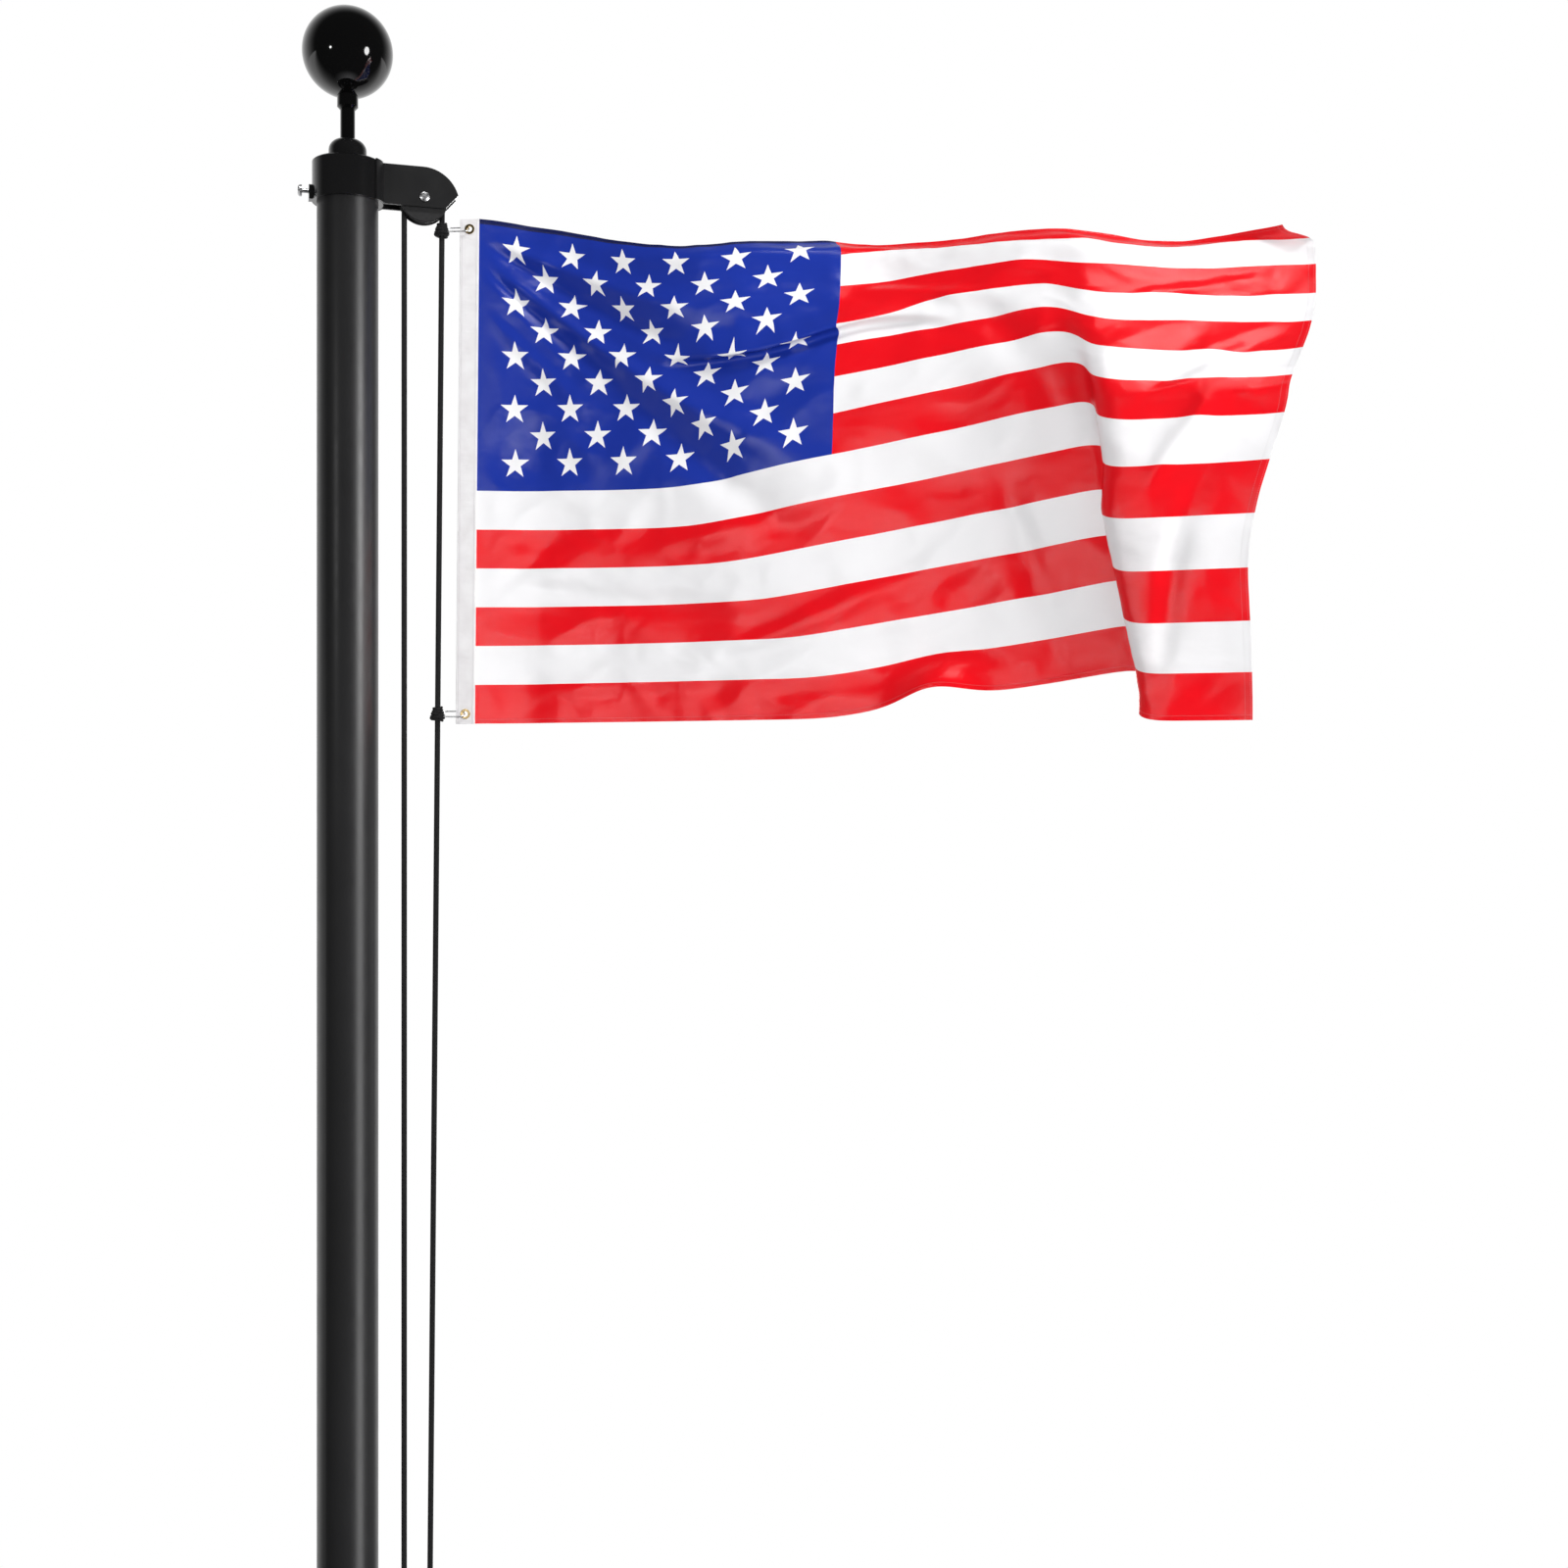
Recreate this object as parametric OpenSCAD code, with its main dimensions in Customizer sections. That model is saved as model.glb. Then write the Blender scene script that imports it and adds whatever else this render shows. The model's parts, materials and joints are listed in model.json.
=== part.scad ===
// Flagpole with a fixed single-sheave truck, ball finial, rope halyard and a flag on two snap rings.
// Millimetres, +Z up. The origin is the centre of the base flange's underside, and +X is the way
// the truck's arm points.

/* [Pole] */
// Height of the pole's top edge above the ground
pole_h = 6096; // [5000:10:7500]
// Outside diameter of the pole
pole_d = 108; // [90:1:130]
// Wall of the pole
pole_wall = 3.2; // [2.5:0.1:5]
// Length of the sleeve inside the joint of the two sections
splice_len = 400; // [250:10:600]
// Wall of the sleeve
splice_wall = 4; // [3:0.5:8]

/* [Base] */
// Diameter of the base flange
flange_d = 260; // [230:2:340]
// Thickness of the base flange
flange_t = 16; // [12:1:25]
// Wall of the socket that holds the pole
socket_wall = 15; // [10:1:22]
// Height of the socket above the ground
socket_h = 165; // [120:5:250]
// Circle on which the anchor holes lie
anchor_pcd = 210; // [200:1:220]
// Diameter of an anchor hole
anchor_hole_d = 18; // [14:1:20]

/* [Truck] */
// Wall of the collar round the pole's top
collar_wall = 8.1; // [6:0.1:12]
// Thickness of the collar's top plate
collar_top_t = 8; // [6:0.5:12]
// Height of the collar
collar_h = 72; // [68:1:100]
// Distance from the pole's axis to the sheave's axle
sheave_reach = 134; // [128:1:160]
// Height of the axle above the collar's lower rim
axle_rise = 18; // [16:1:22]
// Width of the arm over both cheeks
arm_w = 40; // [36:1:52]
// Thickness of a cheek plate
cheek_t = 4; // [3:0.5:6]
// Radius of the arm's rounded nose
nose_r = 65; // [60:1:68]

/* [Sheave] */
// Diameter of the sheave's flanges
sheave_d = 88; // [84:1:92]
// Radius at which the rope's centre line runs
rope_run_r = 34; // [32:0.5:36]
// Width of the sheave
sheave_w = 28; // [24:1:28]
// Diameter of the axle
axle_d = 10; // [8:0.5:12]

/* [Finial] */
// Diameter of the ball
ball_d = 160; // [120:2:200]
// Wall of the ball
ball_wall = 2; // [1.5:0.1:4]
// Height of the ball's centre above the pole's top
ball_rise = 206; // [190:1:260]
// Diameter of the ferrule under the ball
ferrule_d = 37; // [30:1:44]
// Diameter of the rod that carries the ball
rod_d = 26; // [20:1:28]
// Diameter of the hub on the collar
hub_d = 67; // [60:1:80]
// Height of the hub
hub_h = 41; // [36:1:50]

/* [Halyard] */
// Diameter of the rope
rope_d = 10; // [8:0.5:11]
// Height of the cleat's middle above the ground
cleat_z = 1370; // [1200:10:1500]
// Length of the cleat over both horns
cleat_len = 228; // [200:2:260]

/* [Flag] */
// Height of the flag along its hoist
flag_hoist = 914; // [700:2:1000]
// Length of the flag with its heading
flag_fly = 1524; // [1200:4:1700]
// Width of the canvas heading
heading_w = 35; // [30:1:40]
// Depth of the flag's top corner below the pole's top
flag_drop = 80; // [78:1:300]
// Thickness of the stand-in for the cloth
cloth_t = 2; // [1.5:0.5:8]
// Gap from the rope's centre line to the heading's edge
snap_reach = 34; // [30:1:44]
// Diameter of the snap ring's wire
snap_wire = 2.6; // [2:0.2:3]

/* [Hidden] */
$fn = 96;

// Radial gap of a piece that sits in or on another, and the smaller one of a shaft that turns
seat_gap = 0.3;
run_gap = 0.05;

pole_r = pole_d / 2;
pole_bore_r = pole_r - pole_wall;
pole_foot_z = 10;
joint_z = pole_h / 2;
over = 1;

collar_bore_r = pole_r + seat_gap;
collar_r = collar_bore_r + collar_wall;
collar_top_z = pole_h + collar_top_t;
collar_low_z = collar_top_z - collar_h;
collar_edge = 2;

// Clamp screw and its boss, on the side away from the arm
clamp_z = collar_low_z + 16;
clamp_screw_d = 8;
clamp_boss_r = 12.3;
clamp_boss_x = collar_r + 5.6;
clamp_head_x = clamp_boss_x + 12;
clamp_head_d = 21;
clamp_head_t = 7;

// Axle and the rope over the sheave
axle_z = collar_low_z + axle_rise;
cheek_in = arm_w / 2 - cheek_t;
rope_r = rope_d / 2;
groove_gap = 0.6;
outer_x = sheave_reach + rope_run_r;

// Cleat: its shape is given outward from the pole's face
cleat_t = 18;
cleat_foot = 7;
cleat_half = cleat_len / 2;
cleat_neck = 21;
horn_low = 30;
horn_top = 50;
horn_tip = 60;
// Where the outer leg of the halyard leaves the cleat
cleat_off_x = pole_r + 76;
cleat_off_y = 16;
cleat_off_z = cleat_z + cleat_half + 16;

// The outer leg is straight, so its direction carries the knots and the flag
leg_top = [outer_x, 0, axle_z];
leg_foot = [cleat_off_x, cleat_off_y, cleat_off_z];
leg_lean_x = atan((outer_x - cleat_off_x) / (axle_z - cleat_off_z));
leg_lean_y = atan(cleat_off_y / (axle_z - cleat_off_z));

// Flag corners, measured down the outer leg
flag_top_z = pole_h - flag_drop;
grommet_in = 18;
upper_clip_z = flag_top_z - grommet_in;
lower_clip_z = flag_top_z - flag_hoist + grommet_in;
knot_r = 11;
knot_len = 30;
snap_r = 9;
snap_tilt = 35;
grommet_hole_r = 5;
grommet_r = 9;
heading_t = 3;
flag_heading_deg = -24;
// Directions in plan that the cloth's threads settle to, at the top and from the middle down
fly_top_deg = -36;
fly_foot_deg = -41;
turn_in = 160;
// A fold runs from the top edge to the foot, where the cloth doubles back on itself: how far along
// the cloth it lies, its width, and how far it turns the threads at the top, middle and foot
fold_at = [1060, 1280];
fold_w = [45, 36];
fold_deg = [13, 62, 140];
fold_drop_deg = -75;
wave_deg = [14, 3];
wave_len = 620;
// Rise of the threads: the top one sags from its corner, the lower ones lift
top_sag_deg = -7.5;
top_sag_len = 380;
top_droop_deg = -4.5;
foot_lift_deg = 7.7;
// The top edge rolls back and down over this share of the hoist, and curls at its fly end
roll_share = 0.11;
roll_back = 50;
roll_drop = 55;
top_curl_deg = -28;
cloth_gap = 0.6;

function unit(v) = v / norm(v);
function mix(a, b, t) = a + (b - a) * t;
// A point on the outer leg at height z
function on_leg(z) = mix(leg_foot, leg_top, (z - cleat_off_z) / (axle_z - cleat_off_z));

// ---- shared shapes ----

module tube(r_out, r_in, z0, z1) {
  difference() {
    translate([0, 0, z0])
      cylinder(r = r_out, h = z1 - z0);
    translate([0, 0, z0 - over])
      cylinder(r = r_in, h = z1 - z0 + 2 * over);
  }
}

// A pan-head screw that points in along -X, with its head's underside at x
module side_screw(x, z, length, shank_r, head_r, head_t, slot = 1.6) {
  translate([x, 0, z])
    rotate([0, 90, 0])
      difference() {
        union() {
          translate([0, 0, -length])
            cylinder(r = shank_r, h = length + 0.5, $fn = 32);
          cylinder(r = head_r, h = head_t * 0.6, $fn = 48);
          translate([0, 0, head_t * 0.6])
            cylinder(r1 = head_r, r2 = head_r * 0.7, h = head_t * 0.4, $fn = 48);
        }
        translate([-slot / 2, -head_r, head_t * 0.55])
          cube([slot, 2 * head_r, head_t]);
      }
}

// Everything on the outer leg is built about a local origin and set at a height on the leg
module at_leg(z) {
  translate(on_leg(z))
    rotate([leg_lean_y, leg_lean_x, 0])
      children();
}

// ---- base and pole ----

module base_shoe() {
  socket_r = pole_r + seat_gap + socket_wall;
  rib_t = 12;
  rib_out = flange_d / 2 - 8;
  rib_top = socket_h - 25;
  drain_r = pole_bore_r - 6;
  color("dimgray")
    difference() {
      union() {
        cylinder(d = flange_d, h = flange_t);
        cylinder(r = socket_r, h = socket_h - 4);
        translate([0, 0, socket_h - 4])
          cylinder(r1 = socket_r, r2 = socket_r - 4, h = 4);
        for (a = [0:90:270])
          rotate([0, 0, a])
            translate([0, rib_t / 2, 0])
              rotate([90, 0, 0])
                linear_extrude(rib_t)
                  polygon([
                    [pole_r + 4, flange_t - 1], [rib_out, flange_t - 1],
                    [rib_out, flange_t + 6], [socket_r - 1, rib_top], [pole_r + 4, rib_top]
                  ]);
      }
      translate([0, 0, pole_foot_z])
        cylinder(r = pole_r + seat_gap, h = socket_h);
      translate([0, 0, -over])
        cylinder(r = drain_r, h = socket_h);
      for (a = [45:90:315])
        rotate([0, 0, a])
          translate([anchor_pcd / 2, 0, -over])
            cylinder(d = anchor_hole_d, h = flange_t + 2 * over);
      for (a = [45, 225])
        rotate([0, 0, a])
          translate([0, 0, socket_h - 30])
            rotate([0, 90, 0])
              cylinder(r = 5 + 0.1, h = flange_d, $fn = 32);
    }
}

module base_set_screws() {
  color("silver")
    for (a = [45, 225])
      rotate([0, 0, a])
        side_screw(pole_r + socket_wall + 2 * seat_gap, socket_h - 30, socket_wall, 5, 8.5, 6);
}

module lower_section() {
  color("dimgray")
    difference() {
      tube(pole_r, pole_bore_r, pole_foot_z, joint_z);
      splice_screw_holes(-1);
      cleat_screw_holes();
    }
}

module upper_section() {
  color("dimgray")
    difference() {
      tube(pole_r, pole_bore_r, joint_z, pole_h);
      splice_screw_holes(1);
    }
}

module splice_sleeve() {
  sleeve_r = pole_bore_r - seat_gap;
  color("silver")
    difference() {
      tube(sleeve_r, sleeve_r - splice_wall, joint_z - splice_len / 2, joint_z + splice_len / 2);
      splice_screw_holes(-1);
      splice_screw_holes(1);
    }
}

// Two screws hold each section to the sleeve, on the side away from the halyard
splice_screw_r = 3;
module splice_screw_holes(side) {
  for (a = [135, 225])
    rotate([0, 0, a])
      translate([pole_r - 20, 0, joint_z + side * splice_len / 4])
        rotate([0, 90, 0])
          cylinder(r = splice_screw_r + 0.1, h = 40, $fn = 32);
}

module splice_screws() {
  color("silver")
    for (side = [-1, 1])
      for (a = [135, 225])
        rotate([0, 0, a])
          side_screw(
            pole_r + seat_gap, joint_z + side * splice_len / 4,
            pole_wall + splice_wall, splice_screw_r, 5.5, 3, 1
          );
}

// ---- truck ----

module truck_collar() {
  color([0.09, 0.09, 0.09])
    difference() {
      union() {
        translate([0, 0, collar_low_z])
          cylinder(r = collar_r, h = collar_h - collar_edge);
        translate([0, 0, collar_top_z - collar_edge])
          cylinder(r1 = collar_r, r2 = collar_r - collar_edge, h = collar_edge);
        translate([-clamp_boss_x, 0, clamp_z])
          rotate([0, 90, 0])
            cylinder(r = clamp_boss_r, h = clamp_boss_x - pole_r - 4, $fn = 64);
        translate([-clamp_boss_x, -clamp_boss_r * 0.8, collar_low_z])
          cube([clamp_boss_x - pole_r - 4, clamp_boss_r * 1.6, clamp_z - collar_low_z]);
      }
      translate([0, 0, collar_low_z - over])
        cylinder(r = collar_bore_r, h = collar_h - collar_top_t + over);
      translate([-clamp_boss_x - over, 0, clamp_z])
        rotate([0, 90, 0])
          cylinder(d = clamp_screw_d + 0.2, h = clamp_boss_x - pole_r + 2, $fn = 32);
    }
}

module clamp_screw() {
  shank = clamp_head_x - pole_r - seat_gap;
  color("silver")
    rotate([0, 0, 180])
      side_screw(clamp_head_x, clamp_z, shank, clamp_screw_d / 2, clamp_head_d / 2, clamp_head_t, 2);
}

module truck_hub() {
  shoulder_r = 20;
  steps = 10;
  shoulder = [
    for (i = [0:steps])
      let (a = 90 * i / steps)
        [hub_d / 2 - shoulder_r + shoulder_r * cos(a), hub_h - shoulder_r + shoulder_r * sin(a)]
  ];
  color([0.08, 0.08, 0.08])
    translate([0, 0, collar_top_z])
      rotate_extrude()
        polygon(concat([[0, 0], [hub_d / 2, 0]], shoulder, [[0, hub_h]]));
}

// The ball is cut flat where the ferrule meets it
ball_z = pole_h + ball_rise;
ball_cut_z = ball_z - sqrt(pow(ball_d / 2, 2) - pow(ferrule_d / 2, 2));
ferrule_h = 24;
stud_r = 6;

module finial_rod() {
  z0 = collar_top_z + hub_h;
  color([0.08, 0.08, 0.08])
    translate([0, 0, z0])
      cylinder(d = rod_d, h = ball_cut_z - ferrule_h - z0);
}

module finial_ferrule() {
  chamfer = 4;
  color([0.1, 0.1, 0.1])
    translate([0, 0, ball_cut_z - ferrule_h]) {
      cylinder(r1 = ferrule_d / 2 - chamfer, r2 = ferrule_d / 2, h = chamfer);
      translate([0, 0, chamfer])
        cylinder(d = ferrule_d, h = ferrule_h - chamfer);
      translate([0, 0, ferrule_h])
        cylinder(r = stud_r, h = 14, $fn = 32);
    }
}

module finial_ball() {
  color([0.03, 0.03, 0.03])
    difference() {
      translate([0, 0, ball_z])
        sphere(d = ball_d);
      translate([0, 0, ball_z])
        sphere(d = ball_d - 2 * ball_wall);
      translate([0, 0, ball_cut_z - ball_d])
        cylinder(d = ball_d, h = ball_d);
      translate([0, 0, ball_cut_z - over])
        cylinder(r = stud_r + seat_gap, h = ball_d / 2, $fn = 32);
    }
}

// ---- arm and sheave ----

// Outline of a cheek in X and Z: flat top, round nose, cut-back tip and flat underside
module cheek_outline() {
  nose_x = sheave_reach - 2;
  nose_z = collar_top_z - nose_r;
  tip_deg = 16;
  steps = 16;
  nose = [
    for (i = [0:steps])
      let (a = 90 + (tip_deg - 90) * i / steps)
        [nose_x + nose_r * cos(a), nose_z + nose_r * sin(a)]
  ];
  polygon(concat(
    [[pole_r, collar_low_z], [pole_r, collar_top_z]],
    nose,
    [[sheave_reach + 38, collar_low_z]]
  ));
}

// The cheek stands on the collar with a foot that wraps round it
module cheek(side) {
  foot_t = 3;
  foot_deg = 44;
  foot_start = asin(cheek_in / collar_r);
  difference() {
    union() {
      translate([0, side > 0 ? arm_w / 2 : -cheek_in, 0])
        rotate([90, 0, 0])
          linear_extrude(cheek_t)
            cheek_outline();
      rotate([0, 0, side > 0 ? foot_start : -foot_deg])
        rotate_extrude(angle = foot_deg - foot_start)
          translate([collar_r, collar_low_z])
            square([foot_t + seat_gap, collar_h]);
    }
    translate([0, 0, collar_low_z - over])
      cylinder(r = collar_r + seat_gap, h = collar_h + 2 * over);
    translate([sheave_reach, arm_w, axle_z])
      rotate([90, 0, 0])
        cylinder(d = axle_d + 0.4, h = 2 * arm_w, $fn = 48);
  }
}

module arm_front_cheek() {
  color([0.1, 0.1, 0.1])
    cheek(-1);
}

module arm_rear_cheek() {
  color([0.1, 0.1, 0.1])
    cheek(1);
}

// The web closes the arm's top between the cheeks
module arm_web() {
  web_end = sheave_reach - 2;
  color([0.1, 0.1, 0.1])
    difference() {
      translate([pole_r, -cheek_in, collar_top_z - cheek_t])
        cube([web_end - pole_r, 2 * cheek_in, cheek_t]);
      translate([0, 0, collar_low_z - over])
        cylinder(r = collar_r + seat_gap, h = collar_h + 2 * over);
      translate([sheave_reach, arm_w, axle_z])
        rotate([90, 0, 0])
          cylinder(r = sheave_d / 2 + 2, h = 2 * arm_w);
    }
}

axle_head_d = 17.5;
axle_head_t = 3.5;
module axle() {
  stub = 4;
  color("silver")
    translate([sheave_reach, arm_w / 2 + axle_head_t + stub, axle_z])
      rotate([90, 0, 0]) {
        cylinder(d = axle_d, h = arm_w + axle_head_t + stub, $fn = 64);
        translate([0, 0, arm_w + axle_head_t + stub])
          cylinder(d = axle_head_d, h = axle_head_t * 0.5, $fn = 64);
        translate([0, 0, arm_w + axle_head_t * 1.5 + stub])
          cylinder(d1 = axle_head_d, d2 = axle_head_d * 0.6, h = axle_head_t * 0.5, $fn = 64);
      }
}

module axle_nut() {
  color("silver")
    translate([sheave_reach, arm_w / 2 + axle_head_t * 2, axle_z])
      rotate([90, 0, 0])
        difference() {
          cylinder(d = axle_head_d, h = axle_head_t * 2, $fn = 6);
          translate([0, 0, -over])
            cylinder(d = axle_d + 0.2, h = axle_head_t * 2 + 2 * over, $fn = 64);
        }
}

module sheave() {
  groove_r = rope_r + groove_gap;
  groove_steps = 12;
  rim_half = sheave_w / 2 - 3;
  hub_r = axle_d / 2 + 7;
  groove = [
    for (i = [0:groove_steps])
      let (a = -90 - 180 * i / groove_steps)
        [rope_run_r + groove_r * cos(a), groove_r * sin(a)]
  ];
  color([0.18, 0.18, 0.18])
    translate([sheave_reach, 0, axle_z])
      rotate([-90, 0, 0])
        rotate_extrude()
          polygon(concat(
            [
              [axle_d / 2 + run_gap, -sheave_w / 2], [hub_r, -sheave_w / 2],
              [hub_r, 1 - sheave_w / 2], [sheave_d / 2 - 2, 1 - sheave_w / 2],
              [sheave_d / 2, 3 - sheave_w / 2], [sheave_d / 2, -rim_half + 1]
            ],
            groove,
            [
              [sheave_d / 2, rim_half - 1], [sheave_d / 2, sheave_w / 2 - 3],
              [sheave_d / 2 - 2, sheave_w / 2 - 1], [hub_r, sheave_w / 2 - 1],
              [hub_r, sheave_w / 2], [axle_d / 2 + run_gap, sheave_w / 2]
            ]
          ));
}

// ---- cleat ----

module cleat_screw_holes() {
  for (side = [-1, 1])
    translate([pole_r - 20, 0, cleat_z + side * cleat_screw_off])
      rotate([0, 90, 0])
        cylinder(r = 3 + 0.1, h = 40, $fn = 32);
}
cleat_screw_off = 36;

module cleat() {
  x0 = pole_r - 2;
  half_foot = 50;
  tip_h = 9;
  upper = [
    [x0, half_foot], [pole_r + cleat_foot, half_foot], [pole_r + cleat_foot, cleat_neck + 8],
    [pole_r + cleat_foot + 3, cleat_neck + 3], [pole_r + horn_low - 3, cleat_neck],
    [pole_r + horn_low, cleat_neck + 6], [pole_r + horn_tip - tip_h, cleat_half - 3],
    [pole_r + horn_tip - tip_h + 3, cleat_half], [pole_r + horn_tip - 3, cleat_half],
    [pole_r + horn_tip, cleat_half - 4], [pole_r + horn_top + 2, cleat_neck + 30]
  ];
  lower = [for (i = [len(upper) - 1:-1:0]) [upper[i][0], -upper[i][1]]];
  color([0.12, 0.12, 0.12])
    difference() {
      translate([0, cleat_t / 2, cleat_z])
        rotate([90, 0, 0])
          linear_extrude(cleat_t)
            polygon(concat(upper, [[pole_r + horn_top, 0]], lower));
      translate([0, 0, cleat_z - cleat_len])
        cylinder(r = pole_r + seat_gap, h = 2 * cleat_len);
      cleat_screw_holes();
    }
}

module cleat_screws() {
  color("silver")
    for (side = [-1, 1])
      side_screw(
        pole_r + cleat_foot, cleat_z + side * cleat_screw_off,
        cleat_foot + pole_wall, 3, 5.5, 3, 1
      );
}

// ---- halyard ----

// The route starts at the upper knot, goes up and over the sheave, down the inner leg, round the
// cleat in a figure of eight, and up the outer leg to the upper knot again.
arc_steps = 12;
rope_sides = 10;
// The turns are drawn for this rope radius; a thicker rope lies that much further out
turns_rope_r = 5;
cleat_turns = [
  [44, -15.5, 130], [40, -15.5, 60], [32, -15.5, 20], [24, -15.5, -14], [19, -15, -26],
  [16, -9, -33], [15.5, 0, -35], [16, 9, -33], [19, 15, -26], [30, 16, -18], [42, 16, -13],
  [53, 15.5, -9], [58, 8.5, -5], [58.5, 0, 0], [58, -8.5, 5], [53, -17, 10], [46, -26, 20],
  [32, -27, 28], [20, -22, 36], [16, -11, 40], [15.5, 0, 42], [16, 11, 40], [19, 17, 36],
  [32, 17.5, 28], [46, 17, 20], [60, 15.5, 12], [68.5, 9, 6], [69.5, 0, 0], [68.5, -9, -6],
  [60, -17, -12], [46, -18, -22], [32, -17, -34], [20, -13, -44], [16, -8, -47.5],
  [15.5, 0, -49], [16, 8, -47.5], [19, 15, -44], [30, 22, -38], [44, 27, -26], [58, 28, -8],
  [68, 26, 14], [74, 20, 60]
];

function sheave_arc() = [
  for (i = [0:arc_steps])
    let (a = 180 * i / arc_steps)
      [sheave_reach + rope_run_r * cos(a), 0, axle_z + rope_run_r * sin(a)]
];
halyard_route = concat(
  [on_leg(upper_clip_z)],
  sheave_arc(),
  [for (p = cleat_turns) [pole_r + p[0] + rope_r - turns_rope_r, p[1], cleat_z + p[2]]],
  [leg_foot, on_leg(upper_clip_z - 0.5)]
);

function tangents(p) = [
  for (i = [0:len(p) - 1])
    let (a = p[max(i - 1, 0)], b = p[min(i + 1, len(p) - 1)], c = p[i])
      i == 0 ? unit(b - c) : i == len(p) - 1 ? unit(c - a) : unit(unit(c - a) + unit(b - c))
];
function carried(t, n, i = 0) =
  i >= len(t) ? [] :
    let (m = unit(n - (n * t[i]) * t[i]))
      concat([m], carried(t, m, i + 1));

// A tube of flat-sided section along a list of points
module swept_tube(p, r, sides) {
  t = tangents(p);
  n = carried(t, [0, 1, 0]);
  rings = [
    for (i = [0:len(p) - 1])
      let (b = cross(t[i], n[i]))
        for (k = [0:sides - 1])
          p[i] + r * (cos(360 * k / sides) * n[i] + sin(360 * k / sides) * b)
  ];
  last = (len(p) - 1) * sides;
  walls = [
    for (i = [0:len(p) - 2])
      for (k = [0:sides - 1])
        let (j = (k + 1) % sides)
          [i * sides + k, (i + 1) * sides + k, (i + 1) * sides + j, i * sides + j]
  ];
  caps = [[for (k = [0:sides - 1]) k], [for (k = [sides - 1:-1:0]) last + k]];
  polyhedron(rings, concat(walls, caps), convexity = 10);
}

module halyard() {
  color([0.06, 0.06, 0.06])
    swept_tube(halyard_route, rope_r, rope_sides);
}

// ---- snap rings, knots and grommets ----

// Bent wire ring, long in X, lying in the local XY plane; its near end bends round the origin side
snap_near = 8.3;
snap_far = snap_reach + grommet_in - 1.8;
module snap_ring(wire_d) {
  rotate([0, 0, flag_heading_deg])
    rotate([snap_tilt, 0, 0]) {
      translate([snap_near + snap_r, 0, 0])
        rotate([0, 0, 90])
          rotate_extrude(angle = 180)
            translate([snap_r, 0])
              circle(d = wire_d, $fn = 24);
      translate([snap_far - snap_r, 0, 0])
        rotate([0, 0, -90])
          rotate_extrude(angle = 180)
            translate([snap_r, 0])
              circle(d = wire_d, $fn = 24);
      for (side = [-1, 1])
        translate([snap_near + snap_r, side * snap_r, 0])
          rotate([0, 90, 0])
            cylinder(d = wire_d, h = snap_far - snap_near - 2 * snap_r, $fn = 24);
    }
}

// A knot is a cone that widens downward, with the rope and the ring passing through it
module knot() {
  difference() {
    rotate_extrude($fn = 48)
      polygon([
        [rope_r + seat_gap, knot_len / 2], [rope_r + 2, knot_len / 2],
        [knot_r * 0.8, knot_len * 0.12], [knot_r, -knot_len * 0.12],
        [knot_r, -knot_len * 0.28], [rope_r + 3, -knot_len / 2],
        [rope_r + seat_gap, -knot_len / 2]
      ]);
    snap_ring(snap_wire + 2 * seat_gap);
  }
}

module upper_knot() {
  color([0.05, 0.05, 0.05])
    at_leg(upper_clip_z)
      knot();
}

module lower_knot() {
  color([0.05, 0.05, 0.05])
    at_leg(lower_clip_z)
      knot();
}

module upper_snap_ring() {
  color("silver")
    at_leg(upper_clip_z)
      snap_ring(snap_wire);
}

module lower_snap_ring() {
  color("silver")
    at_leg(lower_clip_z)
      snap_ring(snap_wire);
}

// Both faces of the grommet stand proud of the heading
module grommet() {
  rim_t = 1;
  rim_gap = 0.05;
  rotate([0, 0, flag_heading_deg])
    translate([snap_reach + grommet_in, 0, 0])
      rotate([90, 0, 0])
        difference() {
          union() {
            cylinder(r = grommet_hole_r + 1.2, h = heading_t + 2 * rim_t, center = true, $fn = 48);
            for (side = [-1, 1])
              translate([0, 0, side * ((heading_t + rim_t) / 2 + rim_gap)])
                cylinder(r = grommet_r, h = rim_t, center = true, $fn = 48);
          }
          cylinder(r = grommet_hole_r, h = 3 * heading_t, center = true, $fn = 48);
        }
}

module upper_grommet() {
  color("goldenrod")
    at_leg(upper_clip_z)
      grommet();
}

module lower_grommet() {
  color("goldenrod")
    at_leg(lower_clip_z)
      grommet();
}

// ---- flag ----

// The heading's edges, as distances down from the upper clip
module heading() {
  color("ivory")
    at_leg(upper_clip_z)
      rotate([0, 0, flag_heading_deg])
        difference() {
          translate([snap_reach, -heading_t / 2, grommet_in - flag_hoist])
            cube([heading_w, heading_t, flag_hoist]);
          for (z = [0, lower_clip_z - upper_clip_z])
            translate([snap_reach + grommet_in, 0, z])
              rotate([90, 0, 0])
                cylinder(r = grommet_hole_r + 1.5, h = 3 * heading_t, center = true, $fn = 48);
        }
}

// The cloth is a grid of threads that run from the heading. Each thread is walked in short steps
// whose direction comes from the settings above, so it keeps its length.
cloth_len = flag_fly - heading_w;
walk_steps = 240;
cloth_rows = 9;
// Columns stand closer together where the fold is
cloth_columns = concat(
  [for (i = [0:6:156]) i],
  [for (i = [160:2:220]) i],
  [for (i = [225:5:walk_steps]) i]
);

function eased(x, a, b) =
  let (q = max(0, min(1, (x - a) / (b - a))))
    q * q * (3 - 2 * q);
function bell(x) = exp(-x * x);

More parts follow.
